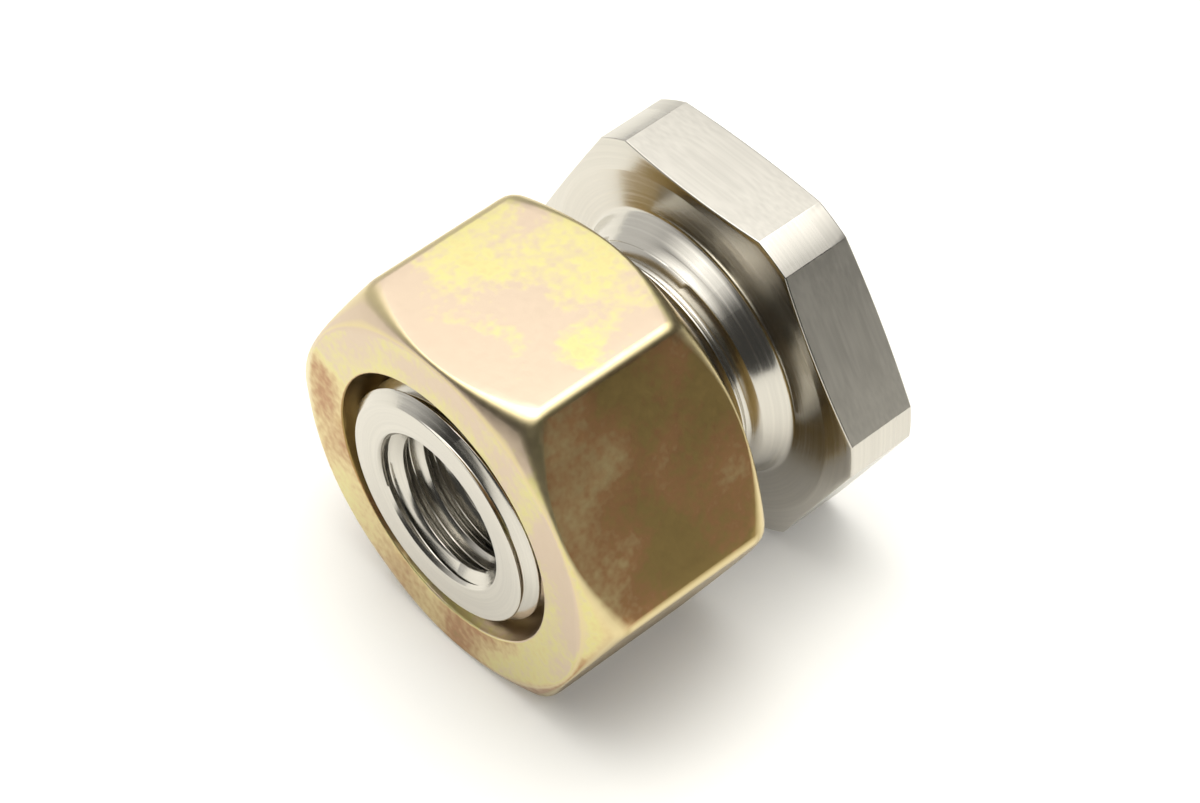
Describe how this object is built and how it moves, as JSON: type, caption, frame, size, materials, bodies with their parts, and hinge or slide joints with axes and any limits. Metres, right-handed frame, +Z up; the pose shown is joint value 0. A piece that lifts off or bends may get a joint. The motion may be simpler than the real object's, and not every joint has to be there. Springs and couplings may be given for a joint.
{
  "type": "hex weld nut with lock nut",
  "caption": "Hexagon weld body with a tapped through hole and a threaded shank that carries a hexagon lock nut, which clamps against the flange.",
  "frame": {"origin": "on the floor under the middle of the fitting's length, the fitting lying on one flat of its flange", "axes": "+X along the axis, from the weld face to the shank's open end; +Z up; +Y across two corners of the hexagons"},
  "size_m": [0.0286, 0.032, 0.028],
  "materials": {
    "bare_steel": "turned and milled, bare",
    "yellow_zinc": "zinc plated, yellow passivated"
  },
  "bodies": {
    "body": {"weld_body": "bare_steel"},
    "nut": {"lock_nut": "yellow_zinc"}
  },
  "joints": [
    {"name": "nut_travel", "type": "slide", "parent": "body", "child": "nut", "axis": [1, 0, 0], "range_m": [-0.006, 0.009]}
  ]
}
